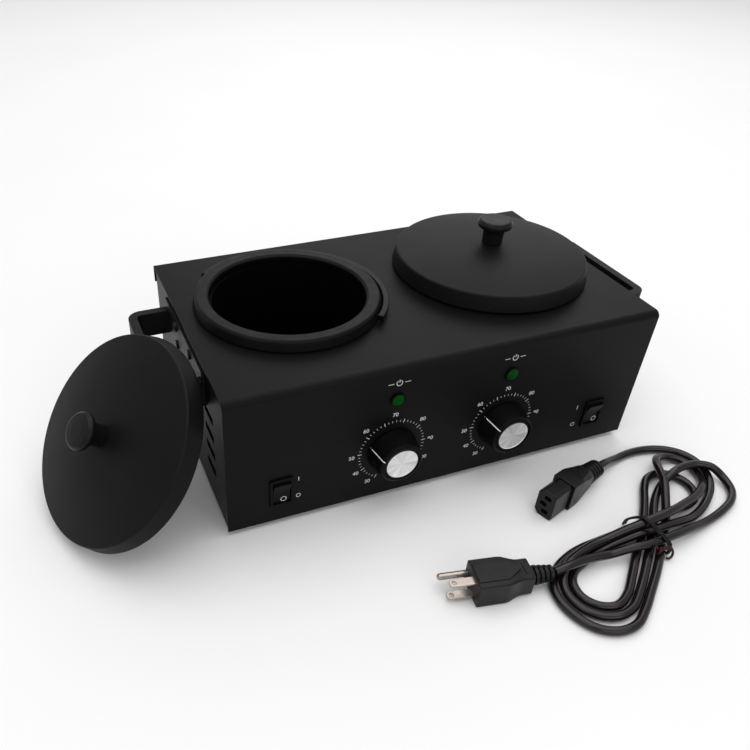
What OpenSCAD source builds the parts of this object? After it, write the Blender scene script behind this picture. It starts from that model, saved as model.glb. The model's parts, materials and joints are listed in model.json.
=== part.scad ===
// Twin-pot wax warmer: a sheet-steel housing with two heated wells, two lift-out
// pots with bail handles, two lids, thermostat knobs, lamps, rocker switches and a
// detachable mains lead.
// +X is the right side, +Y the back, +Z up, and z = 0 is the surface it stands on.
// The origin is the middle of the whole footprint, with one lid leaning on the side.

/* [Housing] */
// Width of the housing without its handles
body_w = 350; // [340:1:380]
// Depth of the housing
body_d = 201; // [196:1:220]
// Height of the front panel
body_h = 117; // [114:1:135]
// Height of the rubber feet
foot_h = 5; // [4:0.5:10]
// Thickness of the housing's sheet steel
sheet = 1.2; // [1:0.1:1.6]
// Outside bend radius between the front and the top
bend_r = 5.2; // [4:0.1:8]

/* [Pots] */
// Distance of each pot's axis from the housing's middle plane
pot_x = 89; // [86:0.5:90]
// How far the pots sit behind the housing's middle
pot_y = 8.8; // [4:0.1:12]
// Inside radius of a pot
pot_r = 59.5; // [56:0.5:60]
// Inside depth of a pot, from its rim
pot_depth = 92; // [70:1:95]
// Wall of the spun pots and wells
pot_wall = 1.2; // [1:0.1:1.5]
// Height of the rim ring above the top plate
rim_h = 8.8; // [8:0.1:10]
// Outside radius of the rim ring at its top
rim_r = 70.2; // [69:0.1:71]

/* [Lids] */
// Outside radius of a lid at its open edge
lid_r = 79.6; // [79.4:0.1:81]
// Outside radius of a lid at its top edge
lid_top_r = 77; // [76.8:0.1:78]
// Height of a lid's skirt
lid_skirt = 12.8; // [12:0.1:15]
// Rise of a lid's dome above its top edge
lid_rise = 9.2; // [6:0.1:12]
// Sheet thickness of a lid
lid_wall = 1.4; // [1:0.1:1.6]
// Height of a lid's knob
lid_knob_h = 19.4; // [17:0.1:22]
// Radius of a lid knob's cap
lid_cap_r = 14; // [12:0.1:16]

/* [Controls] */
// Distance of each dial and lamp from the housing's middle plane
dial_x = 47.2; // [44:0.1:50]
// Height of the dials above the housing's lower edge
dial_h = 43.2; // [40:0.1:48]
// Height of the lamps above the housing's lower edge
lamp_h = 89.5; // [84:0.1:94]
// Radius of a dial knob's skirt
knob_r = 19.7; // [18:0.1:21]
// How far a dial knob stands out of the panel
knob_len = 18; // [16:0.1:20]
// Switch frame width
switch_w = 18; // [17:0.1:20]
// Switch frame height
switch_h = 26.4; // [25:0.1:30]
// Tilt of a rocker either side of its middle, in degrees
rocker_tilt = 9; // [6:1:10]

/* [Handles] */
// Length of a side handle
handle_len = 108; // [90:1:120]
// How far a side handle stands out of the housing
handle_reach = 34; // [28:0.5:36]
// Height of the handle strap
handle_h = 20.2; // [16:0.1:24]
// Thickness of the handle strap
strap = 6.8; // [5:0.1:8]

/* [Mains lead] */
// Diameter of the cord
cord_d = 6.4; // [6:0.1:8]

/* [Hidden] */
$fn = 96;

// The housing's middle, measured from the middle of the whole footprint.
house_x = 43;
house_y = 8;

half_w = body_w / 2;
half_d = body_d / 2;
low_z = foot_h;
top_z = foot_h + body_h;
gap = 0.4;
side_inset = 1;
side_x = half_w - side_inset;
front_y = -half_d;
dial_z = low_z + dial_h;
lamp_z = low_z + lamp_h;

powder = [0.12, 0.12, 0.125];
powder_top = [0.17, 0.17, 0.175];
moulded = [0.04, 0.04, 0.042];
steel = [0.62, 0.62, 0.64];

module house() {
    translate([house_x, house_y, 0]) children();
}

module mirrored(side) {
    if (side < 0) mirror([1, 0, 0]) children();
    else children();
}

// A box given by its low and high corners.
module block(low, high) {
    translate(low) cube(high - low);
}

// A disc or rod along Y, starting at the given point.
module rod_y(x, y, z, r, len) {
    translate([x, y, z]) rotate([-90, 0, 0]) cylinder(r = r, h = len);
}

// A rectangle with round corners, drawn about the origin.
module round_rect(w, h, r) {
    square([w - 2 * r, h], center = true);
    square([w, h - 2 * r], center = true);
    for (x = [-1, 1], y = [-1, 1]) {
        translate([x * (w / 2 - r), y * (h / 2 - r)]) circle(r, $fn = 32);
    }
}

// ---------------------------------------------------------------- housing shell

well_r = pot_r + 2 * pot_wall + 1;
switch_xs = [-134, 138.3];
switch_zs = [low_z + 27.8, low_z + 28.9];

// Side view of the bent cover, as [depth, height].
module cover_outline(t) {
    r = bend_r - t;
    lo_y = -half_d + t;
    translate([lo_y + r, low_z]) square([2 * half_d - 2 * t - r, body_h - t]);
    translate([lo_y, low_z]) square([r + 1, body_h - t - r]);
    translate([lo_y + r, top_z - t - r]) circle(r);
}

module cover() color(powder_top) {
    difference() {
        rotate([90, 0, 90]) translate([0, 0, -half_w]) linear_extrude(body_w) {
            difference() {
                cover_outline(0);
                cover_outline(sheet);
                translate([-half_d - 1, low_z - 1]) square([body_d + 2, 1]);
            }
        }
        block([-half_w - 1, half_d - sheet - 0.01, 0], [half_w + 1, half_d + 1, top_z - 14]);
        for (s = [-1, 1]) {
            translate([s * pot_x, pot_y, top_z - 5]) cylinder(r = well_r + gap, h = 10);
            rod_y(s * dial_x, front_y - 1, dial_z, 5.1, 5);
            rod_y(s * dial_x, front_y - 1, lamp_z, 4.2, 5);
        }
        for (i = [0, 1]) {
            translate([switch_xs[i], front_y, switch_zs[i]])
                cube([switch_w - 2.6, 10, switch_h - 3], center = true);
        }
    }
}

back_in = half_d - sheet - gap;
inlet_x = 110;
inlet_z = low_z + 30;

module back_panel() color(powder) difference() {
    block([-half_w + 3, back_in - sheet, low_z + sheet + gap],
        [half_w - 3, back_in, top_z - sheet - gap]);
    translate([inlet_x, back_in, inlet_z]) cube([27.4, 10, 20.4], center = true);
    for (x = [-20, 20]) rod_y(inlet_x + x, back_in - 5, inlet_z, 1.7, 10);
    for (x = [-1, 1], z = back_screw_zs) rod_y(x * back_screw_x, back_in - 5, z, 1.7, 10);
    for (x = [-90:12:-6]) {
        translate([x, back_in, low_z + 30]) cube([3, 10, 26], center = true);
    }
}
back_screw_x = half_w - 14;
back_screw_zs = [low_z + 12, top_z - 26];

vent_z = [29.5, 46, 62.5, 79];
vent_len = 22;
vent_h = 6.4;

// A side panel: flat, with a folded top edge and a stack of louvred slots near the front.
module side_panel() {
    difference() {
        union() {
            block([side_x - sheet, -half_d + sheet + gap, low_z + gap],
                [side_x, back_in - sheet - gap, top_z - sheet - gap]);
            block([side_x - 9, -half_d + bend_r, top_z - 2 * sheet - gap],
                [side_x, back_in - sheet - gap, top_z - sheet - gap]);
        }
        for (z = vent_z) {
            translate([side_x, -59, low_z + z]) cube([6, vent_len, vent_h], center = true);
        }
        for (y = [-1, 1], z = handle_screw_zs) {
            translate([side_x - 3, y * handle_screw_y, z]) rotate([0, 90, 0])
                cylinder(r = 2.2, h = 6, $fn = 32);
        }
    }
    // Louvre blades, sloping in and down behind each slot
    for (z = vent_z) {
        translate([side_x, -59 + vent_len / 2 + 0.6, low_z + z]) rotate([90, 0, 0])
            linear_extrude(vent_len + 1.2)
            polygon([[-0.4, vent_h / 2 + 0.7], [-1, vent_h / 2 + 0.7],
                [-4.6, 0.6 - vent_h / 2], [-3.8, 0.6 - vent_h / 2]]);
    }
}

module left_side_panel() color(powder) mirrored(-1) side_panel();
module right_side_panel() color(powder) side_panel();

module base_plate() color(powder) difference() {
    block([-half_w + 3, -half_d + sheet + gap, low_z], [half_w - 3, back_in, low_z + sheet]);
    for (x = [-1, 1], y = [-1, 1]) {
        translate([x * foot_x, y * foot_y, 0]) cylinder(r = 2.1, h = 10);
    }
    for (x = [-120:15:120], y = [-60, 70]) {
        translate([x, y, low_z]) cube([4, 34, 5], center = true);
    }
}

foot_x = half_w - 20;
foot_y = half_d - 20;
foot_r = 9;

module feet() color(moulded) for (x = [-1, 1], y = [-1, 1]) {
    translate([x * foot_x, y * foot_y, 0]) difference() {
        cylinder(r1 = foot_r - 1, r2 = foot_r, h = foot_h);
        translate([0, 0, -1]) cylinder(r = 4, h = 4);
        cylinder(r = 2.1, h = foot_h + 1);
    }
}

module foot_screws() color(steel) for (x = [-1, 1], y = [-1, 1]) {
    translate([x * foot_x, y * foot_y, 0]) {
        translate([0, 0, 1.78]) cylinder(r = 3.6, h = 1.2);
        translate([0, 0, 1.78]) cylinder(r = 2, h = 9.2);
        translate([0, 0, low_z + sheet + 0.02]) cylinder(r = 4, h = 2.4, $fn = 6);
    }
}

module panel_screw(x, z) {
    rod_y(x, back_in - 8, z, 1.6, 8);
    rod_y(x, back_in + 0.02, z, 3.2, 1.5);
}

module panel_screws() color(steel) {
    for (x = [-1, 1], z = back_screw_zs) panel_screw(x * back_screw_x, z);
    for (x = [-20, 20]) {
        rod_y(inlet_x + x, back_in - 6, inlet_z, 1.6, 9);
        rod_y(inlet_x + x, back_in + 2.62, inlet_z, 2.8, 1.3);
    }
}

// ---------------------------------------------------------------- side handles

handle_top = low_z + 104.2;
handle_low = handle_top - handle_h;
handle_round = 11;
handle_screw_y = 20;
handle_screw_zs = [handle_low - 1 + 6, handle_top + 1];
handle_plate = 2.2;

// Plan of the loop's outside, offset inwards by t, as [reach, length].
module loop_plan(t) {
    r = handle_round - t;
    len = handle_len - 2 * t;
    reach = handle_reach - t;
    translate([0, -len / 2 + r]) square([reach, len - 2 * r]);
    translate([0, -len / 2]) square([reach - r, len]);
    for (y = [-1, 1]) translate([reach - r, y * (len / 2 - r)]) circle(r);
}

module side_handle() {
    difference() {
        union() {
            translate([side_x + 0.02, 0, handle_low]) linear_extrude(handle_h) difference() {
                loop_plan(0);
                loop_plan(strap);
            }
            block([side_x + 0.02, -handle_len / 2, handle_low - 1],
                [side_x + handle_plate, handle_len / 2, handle_top + 8]);
        }
        for (y = [-1, 1], z = handle_screw_zs) {
            translate([side_x - 3, y * handle_screw_y, z]) rotate([0, 90, 0])
                cylinder(r = 2.2, h = 10, $fn = 32);
        }
    }
}

module left_handle() color(moulded) mirrored(-1) side_handle();
module right_handle() color(moulded) side_handle();

module handle_screws() color(steel) for (s = [-1, 1], y = [-1, 1], z = handle_screw_zs) {
    mirrored(s) translate([side_x, y * handle_screw_y, z]) rotate([0, 90, 0]) {
        translate([0, 0, -5]) cylinder(r = 2, h = 9, $fn = 32);
        translate([0, 0, handle_plate + 0.02]) cylinder(r = 3.8, h = 1.6, $fn = 32);
        translate([0, 0, -sheet - 2.5]) cylinder(r = 4, h = 2.4, $fn = 6);
    }
}

// ---------------------------------------------------------------- heated wells

well_h = pot_depth + 6;

// The cup round a pot: open at the top, with a thin flange on the top plate.
module well(s) color(steel) translate([s * pot_x, pot_y, top_z]) difference() {
    union() {
        translate([0, 0, -well_h]) cylinder(r = well_r, h = well_h + 0.82);
        translate([0, 0, 0.02]) cylinder(r = well_r + 4, h = 0.8);
    }
    translate([0, 0, -well_h + pot_wall]) cylinder(r = well_r - pot_wall, h = well_h + 5);
}

module left_well() well(-1);
module right_well() well(1);

band_low = 48;

// Clamped band heater with a gap and two clamp ears.
module heater_band(s) color([0.75, 0.72, 0.62]) {
    translate([s * pot_x, pot_y, band_low]) mirrored(s) difference() {
        union() {
            cylinder(r = well_r + 3, h = 44);
            translate([-well_r - 9, -3.4, 4]) cube([10, 6.8, 36]);
        }
        translate([0, 0, -1]) cylinder(r = well_r + 0.02, h = 46);
        translate([-well_r - 12, -1.6, -1]) cube([20, 3.2, 46]);
    }
}

module left_heater_band() heater_band(-1);
module right_heater_band() heater_band(1);

module insulation(s) color([0.85, 0.82, 0.7]) {
    translate([s * pot_x, pot_y, band_low + 2]) mirrored(s) difference() {
        cylinder(r = well_r + 11, h = 46);
        translate([0, 0, -1]) cylinder(r = well_r + 3.2, h = 48);
        translate([-well_r - 14, -9, -1]) cube([22, 18, 48]);
    }
}

module left_insulation() insulation(-1);
module right_insulation() insulation(1);

// ---------------------------------------------------------------- pots

// A spun pot with a rolled flange at z = 0.
module pot(s) color([0.09, 0.09, 0.09]) translate([s * pot_x, pot_y, top_z + 1.2]) {
    difference() {
        union() {
            translate([0, 0, -pot_depth]) cylinder(r = pot_r + pot_wall, h = pot_depth);
            translate([0, 0, -0.2]) cylinder(r = pot_r + 5, h = 1.2);
        }
        translate([0, 0, -pot_depth + pot_wall]) cylinder(r = pot_r, h = pot_depth + 5);
    }
}

module left_pot() pot(-1);
module right_pot() pot(1);

rim_base_r = rim_r + 1.8;
rim_round = 2.2;
rim_z = top_z + 1;

// Cross-section of the rim ring: rounded top, slightly flared outside.
module rim_profile() {
    polygon([[pot_r + 0.1, 1.3], [pot_r + 5.1, 1.3], [pot_r + 5.1, 0],
        [rim_base_r, 0], [rim_r, rim_h - 1 - rim_round],
        [rim_r - rim_round, rim_h - 1], [pot_r + 0.1 + rim_round, rim_h - 1],
        [pot_r + 0.1, rim_h - 1 - rim_round]]);
    translate([rim_r - rim_round, rim_h - 1 - rim_round]) circle(rim_round);
    translate([pot_r + 0.1 + rim_round, rim_h - 1 - rim_round]) circle(rim_round);
}

bail_in = 72.3;
bail_out = 76.2;
bail_low = top_z + 2.8;
bail_h = 3.6;
bail_half = 90.5;
bail_mid = 45;
pin_back = 2.6;
pin_r = 1.1;
pin_clear = 0.05;

// Moves its children to the bail's pivot line: local X runs along it.
module at_pivot(s) {
    translate([s * pot_x, pot_y, bail_low + bail_h / 2]) rotate([0, 0, bail_mid - 90])
        translate([0, pin_back, 0]) rotate([0, 90, 0]) children();
}

// The rim ring carries two stub pins for the bail.
module rim(s) color(moulded) {
    translate([s * pot_x, pot_y, rim_z]) rotate_extrude() rim_profile();
    for (end = [-1, 1]) at_pivot(s) mirror([0, 0, end < 0 ? 1 : 0])
        translate([0, 0, rim_r - 3]) cylinder(r = pin_r, h = bail_out - rim_r + 3.4, $fn = 32);
}

module left_rim() rim(-1);
module right_rim() rim(1);

// Half-round flat bail that lies down outside the rim ring.
module bail(s) color(moulded) difference() {
    translate([s * pot_x, pot_y, bail_low]) rotate([0, 0, bail_mid - bail_half])
        rotate_extrude(angle = 2 * bail_half) translate([bail_in, 0])
        square([bail_out - bail_in, bail_h]);
    at_pivot(s) translate([0, 0, -bail_out - 5])
        cylinder(r = pin_r + pin_clear, h = 2 * bail_out + 10, $fn = 32);
}

module left_bail() bail(-1);
module right_bail() bail(1);

// ---------------------------------------------------------------- lids

lid_edge_r = 2.4;
dome_r = (lid_top_r * lid_top_r + lid_rise * lid_rise) / (2 * lid_rise);
seat_z = rim_h - 1.2;

// Half section of a solid lid of outline inset t, with its open edge at height 0.
module lid_outline(t) {
    intersection() {
        translate([0, lid_skirt + lid_rise - dome_r]) circle(dome_r - t, $fn = 360);
        union() {
            polygon([[0, -1], [lid_r - t, -1], [lid_r - t, 0],
                [lid_top_r - t, lid_skirt - lid_edge_r],
                [lid_top_r - t - lid_edge_r, lid_skirt + lid_rise], [0, lid_skirt + lid_rise]]);
            translate([lid_top_r - t - lid_edge_r, lid_skirt - lid_edge_r + 0.2])
                circle(lid_edge_r);
        }
    }
}

module lid_shell() rotate_extrude() difference() {
    lid_outline(0);
    lid_outline(lid_wall);
    translate([0, -2]) square([lid_r + 1, 2]);
    translate([-lid_r, -5]) square([lid_r + 2.3, lid_skirt + lid_rise + 10]);
}

lid_apex = lid_skirt + lid_rise;

// Turned knob: tapered stem, rounded cap, blind threaded hole below.
module lid_knob_shape() rotate_extrude() {
    difference() {
        union() {
            polygon([[0, 0.02], [8.1, 0.02], [8.1, 1.4], [8.6, 8], [9.4, 12.4], [12.6, 14.2],
                [12.6, lid_knob_h - 2.6], [10, lid_knob_h], [0, lid_knob_h]]);
            translate([lid_cap_r - 2.7, 15.6]) circle(2.7, $fn = 48);
            translate([0, lid_knob_h - 60]) intersection() {
                circle(60, $fn = 240);
                translate([0, 50]) square([11.2, 12]);
            }
        }
        translate([-5, -1]) square([7.1, 11]);
        translate([-40, -1]) square([40, 60]);
    }
}

module lid_screw_shape() {
    cylinder(r = 2, h = 9.5, $fn = 32);
    translate([0, 0, -lid_wall - 3.4]) cylinder(r = 2, h = 5, $fn = 32);
    translate([0, 0, -lid_wall - 1.02]) cylinder(r = 7, h = 1);
    translate([0, 0, -lid_wall - 3.4]) cylinder(r = 3.8, h = 2.36);
}

module lid_seal_shape() difference() {
    translate([0, 0, seat_z + 0.4]) cylinder(r = 68.6, h = 13.3 - seat_z - 0.4);
    translate([0, 0, 0]) cylinder(r = 65, h = 30);
}

// Seated place of the right lid, and the leaning place of the left lid.
lean_tilt = 40.3;
lean_turn = 196.7;
lean_x = -234.2;
lean_y = -40;
lean_z = (lid_r + 0.02) * sin(90 - lean_tilt);

module seated() {
    translate([pot_x, pot_y, top_z + 1.2]) children();
}

module leaning() {
    translate([lean_x, lean_y, lean_z]) rotate([0, 0, lean_turn]) rotate([0, 90 - lean_tilt, 0])
        children();
}

module left_lid() color(powder) leaning() lid_shell();
module right_lid() color(powder) seated() lid_shell();
module left_lid_knob() color(moulded) leaning() translate([0, 0, lid_apex]) lid_knob_shape();
module right_lid_knob() color(moulded) seated() translate([0, 0, lid_apex]) lid_knob_shape();
module left_lid_screw() color(steel) leaning() translate([0, 0, lid_apex]) lid_screw_shape();
module right_lid_screw() color(steel) seated() translate([0, 0, lid_apex]) lid_screw_shape();
module left_lid_seal() color("dimgray") leaning() lid_seal_shape();
module right_lid_seal() color("dimgray") seated() lid_seal_shape();

// ---------------------------------------------------------------- dials

shaft_r = 3;
shaft_clear = 0.05;
bushing_r = 4.9;
knob_face = front_y - knob_len;
knob_back = front_y - 0.6;

// Knob: tapered grip with shallow flutes, a bore for the shaft and room for the nut.
module knob(s) color(moulded) translate([s * dial_x, knob_back, dial_z]) rotate([90, 0, 0]) {
    len = knob_len - 0.6;
    difference() {
        rotate_extrude() difference() {
            union() {
                polygon([[0, 0], [knob_r - 0.3, 0], [knob_r, 0.4], [knob_r, 1.2],
                    [knob_r - 2.8, len - 1.2], [knob_r - 3.8, len], [0, len]]);
            }
            translate([-1, len - 0.9]) square([14.9, 2]);
        }
        translate([0, 0, -1]) cylinder(r = 9.4, h = 5.2);
        translate([0, 0, -1]) cylinder(r = shaft_r, h = 13.4);
        for (a = [0:12:359]) rotate([0, 0, a])
            translate([knob_r - 0.75, 0, 5]) cylinder(r = 0.5, h = len - 7.2, $fn = 16);
    }
}

module left_knob() knob(-1);
module right_knob() knob(1);

// Spun aluminium disc set in the knob's face.
module knob_cap(s) color(steel)
    translate([s * dial_x, knob_face + 0.88, dial_z]) rotate([90, 0, 0]) rotate_extrude()
        polygon([[0, 0], [13.7, 0], [13.7, 0.9], [12.9, 1.5], [12.2, 1.2], [0, 1.2]]);

module left_knob_cap() knob_cap(-1);
module right_knob_cap() knob_cap(1);

module shaft(s) color(steel)
    rod_y(s * dial_x, knob_back - 12.2, dial_z, shaft_r, 12.2 + 0.6 + 15);

module left_shaft() shaft(-1);
module right_shaft() shaft(1);

thermostat_y = front_y + sheet + 0.05;
thermostat_d = 24;

// Capillary thermostat: box, threaded bushing with the shaft's bore, blade terminals.
module thermostat(s) color([0.5, 0.47, 0.42]) difference() {
    union() {
        block([s * dial_x - 14, thermostat_y, dial_z - 16],
            [s * dial_x + 14, thermostat_y + thermostat_d, dial_z + 16]);
        rod_y(s * dial_x, front_y - 4, dial_z, bushing_r, 8);
        for (x = [-8, 8], z = [-22, 16]) {
            translate([s * dial_x + x - 3.1, thermostat_y + 12, dial_z + z]) cube([6.2, 0.8, 6]);
        }
    }
    rod_y(s * dial_x, front_y - 10, dial_z, shaft_r + shaft_clear, 10 + 16.5);
}

module left_thermostat() thermostat(-1);
module right_thermostat() thermostat(1);

bulb_z = 40;

// Sensor bulbs on the wells, with their capillary tubes from the thermostats.
module sensor_bulbs() color([0.72, 0.45, 0.3]) for (s = [-1, 1]) mirrored(s) {
    a = -118;
    bx = pot_x + (well_r + 2.4) * cos(a);
    by = pot_y + (well_r + 2.4) * sin(a);
    translate([bx, by, bulb_z - 12]) cylinder(r = 2.3, h = 19, $fn = 32);
    tube([[bx, by, bulb_z - 12], [bx - 1, by - 1, 21], [bx - 4, by - 8, 16],
        [dial_x + 8, -80, 15], [dial_x + 6, -85, 17], [dial_x + 6, -87, 24],
        [dial_x + 6, -87, dial_z - 16]], 1.6, 6);
}

module bushing_nuts() color(steel) for (s = [-1, 1]) difference() {
    rod_y(s * dial_x, front_y - 2.9, dial_z, 8, 2.88, $fn = 6);
    rod_y(s * dial_x, front_y - 5, dial_z, bushing_r + 0.02, 8);
}

// ---------------------------------------------------------------- lamps

module lamp(s) color(moulded) difference() {
    union() {
        rod_y(s * dial_x, front_y - 1.8, lamp_z, 5.8, 1.78);
        rod_y(s * dial_x, front_y - 0.2, lamp_z, 4.1, 20);
        for (x = [-2, 2]) {
            translate([s * dial_x + x - 1, front_y + 19.5, lamp_z - 0.4]) cube([2, 6, 0.8]);
        }
    }
    rod_y(s * dial_x, front_y - 2, lamp_z, 3.7, 8);
    rod_y(s * dial_x, front_y - 2, lamp_z, 4.8, 1.3);
}

module left_lamp() lamp(-1);
module right_lamp() lamp(1);

module lamp_lens(s) color([0.05, 0.4, 0.12]) intersection() {
    rod_y(s * dial_x, front_y - 4, lamp_z, 4.75, 3.28);
    translate([s * dial_x, front_y + 6.2, lamp_z]) sphere(r = 9);
}

module left_lamp_lens() lamp_lens(-1);
module right_lamp_lens() lamp_lens(1);

// ---------------------------------------------------------------- switches

pivot_y = front_y + 2.6;
rocker_w = switch_w - 4.8;
rocker_half = 9.4;
pivot_r = 1.2;

module switch_frame(i) color(moulded) difference() {
    translate([switch_xs[i], 0, switch_zs[i]]) union() {
        translate([0, front_y - 1.6, 0]) rotate([-90, 0, 0]) linear_extrude(1.58)
            round_rect(switch_w, switch_h, 1.6);
        translate([0, front_y + 8.3, 0]) cube([switch_w - 3, 17, switch_h - 3.4], center = true);
        for (z = [-6, 0, 6]) translate([-2.4, front_y + 16, z - 0.4]) cube([4.8, 8, 0.8]);
    }
    translate([switch_xs[i], front_y + 4, switch_zs[i]])
        cube([rocker_w + 0.6, 13, 2 * rocker_half + 1.8], center = true);
    translate([switch_xs[i] - 8, pivot_y, switch_zs[i]]) rotate([0, 90, 0])
        cylinder(r = pivot_r + 0.05, h = 16, $fn = 32);
}

module left_switch_frame() switch_frame(0);
module right_switch_frame() switch_frame(1);

// Rocker with a dished face, on stub pins; the lower half is pressed in at rest.
module rocker(i) color(moulded) translate([switch_xs[i], pivot_y, switch_zs[i]]) {
    rotate([rocker_tilt, 0, 0]) rotate([90, 0, 90]) translate([0, 0, -rocker_w / 2])
        linear_extrude(rocker_w)
        polygon([[-4.6, -rocker_half], [-3.3, 0], [-4.6, rocker_half], [1, rocker_half],
            [4.6, 3], [4.6, -3], [1, -rocker_half]]);
    translate([-rocker_w / 2 - 0.8, 0, 0]) rotate([0, 90, 0])
        cylinder(r = pivot_r, h = rocker_w + 1.6, $fn = 32);
}

module left_rocker() rocker(0);
module right_rocker() rocker(1);

// ---------------------------------------------------------------- mains inlet and wiring

module power_inlet() color(moulded) difference() {
    translate([inlet_x, 0, inlet_z]) union() {
        translate([0, back_in + 2.62, 0]) rotate([90, 0, 0]) linear_extrude(2.6)
            round_rect(49, 24, 3);
        translate([0, back_in - 8, 0]) cube([27, 20, 20], center = true);
    }
    translate([inlet_x, back_in - 6, inlet_z]) cube([24, 19, 16.2], center = true);
    for (x = [-20, 20]) rod_y(inlet_x + x, back_in - 6, inlet_z, 1.75, 12);
}

module inlet_pins() color(steel) for (p = [[-7, -2], [0, 2], [7, -2]]) {
    translate([inlet_x + p[0] - 2, back_in - 22, inlet_z + p[1] - 1]) cube([4, 19, 2]);
}

module terminal_block() color([0.9, 0.9, 0.86]) difference() {
    block([-16, 62, low_z + sheet + 0.02], [16, 78, low_z + sheet + 14]);
    for (x = [-11, -3.7, 3.7, 11], y = [66, 74]) {
        translate([x, y, low_z + 6]) cylinder(r = 2.2, h = 12, $fn = 32);
    }
}

// Swept tube of round section along a list of points, closed at both ends.
function unit(v) = v / norm(v);
function tangent(p, i) = unit(p[min(i + 1, len(p) - 1)] - p[max(i - 1, 0)]);
function side_of(t) = unit(cross(t, abs(t[2]) < 0.9 ? [0, 0, 1] : [1, 0, 0]));
function ring(p, i, r, n) =
    let (t = tangent(p, i), u = side_of(t), v = cross(u, t))
    [for (k = [0:n - 1]) p[i] + r * (cos(360 * k / n) * u + sin(360 * k / n) * v)];

module tube(p, d, n) {
    last = len(p) - 1;
    points = [for (i = [0:last]) each ring(p, i, d / 2, n)];
    sides = [for (i = [0:last - 1], k = [0:n - 1])
        [i * n + k, i * n + (k + 1) % n, (i + 1) * n + (k + 1) % n, (i + 1) * n + k]];
    polyhedron(points, concat([[for (k = [0:n - 1]) n - 1 - k]], sides,
        [[for (k = [0:n - 1]) last * n + k]]), convexity = 10);
}

wire_d = 2.4;

// Insulated wires between the inlet, block, switches, thermostats and heaters.
module wiring() color([0.75, 0.2, 0.15]) {
    for (x = [-7, 7]) {
        tube([[inlet_x + x, back_in - 23, inlet_z - 2], [inlet_x + x - 2, 74, 20],
            [90 + x / 2, 60, 12], [40, 66 + x / 3, 10], [18, 70 + x / 2, 12]], wire_d, 8);
    }
    for (s = [-1, 1]) {
        sx = s < 0 ? switch_xs[0] : switch_xs[1];
        tube([[s * 18, 66, 12], [s * 24, 40, 11], [s * 12, -20, 10], [s * 10, -70, 10],
            [s * 60, -88, 11], [sx - s * 20, -88, 13], [sx - s * 6, -84, 20],
            [sx, -75, 26], [sx, -74.8, low_z + 22]], wire_d, 8);
        tube([[s * (dial_x - 8), -86, dial_z - 23], [s * (dial_x - 12), -85, 18],
            [s * 10, -66, 13], [s * 7, -10, 12], [s * 6, 8, 20],
            [s * 5, pot_y + 2, 46]], wire_d, 8);
        tube([[s * (dial_x + 2), front_y + 26.5, lamp_z], [s * (dial_x + 2), -71, lamp_z],
            [s * (dial_x - 10), -74, lamp_z - 12], [s * (dial_x - 8), -86, dial_z + 23]],
            wire_d, 8);
    }
}

// ---------------------------------------------------------------- mains lead

// Where the cord leaves the connector, and its way round to the hank.
lead_points = [[163, -131.5, 11.5], [172, -128.5, 10], [183, -124.5, 6.5], [194, -121.5, 4.2],
    [205, -119.5, 3.4], [217, -119.5, 3.4], [230, -122, 3.4], [242, -128, 3.4],
    [250, -137, 3.4], [253, -149, 3.4]];

hank_h = 14;
cross_at = [156, -201];

module cord() color(moulded) tube(lead_points, cord_d, 10);

// Outer shape of the two tied lobes that the rest of the cord is folded into.
module lobe(ends, hole_ends) linear_extrude(hank_h) difference() {
    hull() {
        translate(cross_at) circle(15);
        for (e = ends) translate([e[0], e[1]]) circle(e[2]);
    }
    hull() for (e = hole_ends) translate([e[0], e[1]]) circle(e[2]);
}

module cord_hank() color(moulded) {
    lobe([[96, -226, 38]], [[96, -223, 14], [118, -214, 6]]);
    lobe([[222, -158, 24], [236, -170, 26]], [[208, -165, 12], [188, -177, 4]]);
    translate([cross_at[0], cross_at[1], 0]) cylinder(r = 14.9, h = 23);
}

// Twist tie over the bundle, down to the surface at both sides.
module cord_tie() color(moulded) difference() {
    block([156.6, -219, 0], [159.8, -182.4, 25]);
    block([154, -217.4, -1], [164, -184, 23.6]);
}

plug_yaw = 169.6;

// Local X points along the plug's prongs, local Z up.
module at_plug() {
    translate([8, -197.5, 10.4]) rotate([0, 0, plug_yaw]) children();
}

module relief(len, r0, r1, n) {
    for (i = [0:n - 1]) {
        translate([0, 0, i * len / n]) cylinder(r = r0 + (r1 - r0) * i / n, h = 0.62 * len / n);
    }
    cylinder(r1 = r0 - 1, r2 = r1 - 1, h = len - 0.4);
}

// Moulded three-prong plug lying on one grip face, with its ribbed strain relief.
module plug() color(moulded) at_plug() {
    rotate([0, -90, 0]) linear_extrude(14) round_rect(20.4, 25, 4);
    translate([-14, 0, 0]) rotate([0, -90, 0]) linear_extrude(27) round_rect(17.6, 21, 4);
    translate([-40.9, 0, 0]) rotate([0, -90, 0]) relief(15.4, 7, 5.2, 5);
}

// Two flat blades and the round earth pin.
module plug_prongs() color([0.75, 0.7, 0.6]) at_plug() {
    for (z = [-6.35, 6.35]) difference() {
        translate([-6, -0.5, z - 0.75]) cube([24, 6.4, 1.5]);
        translate([14.6, 2.7, z - 3]) cylinder(r = 1.6, h = 6, $fn = 32);
    }
    translate([-6, -9.2, 0]) rotate([0, 90, 0]) {
        cylinder(r = 2.4, h = 25.4);
        translate([0, 0, 25.4]) sphere(r = 2.4);
    }
}

connector_yaw = 18.4;

// Local X points from the open face back along the cord, local Z up.
module at_connector() {
    translate([97.8, -153, 12.6]) rotate([0, 0, connector_yaw]) children();
}

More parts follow.
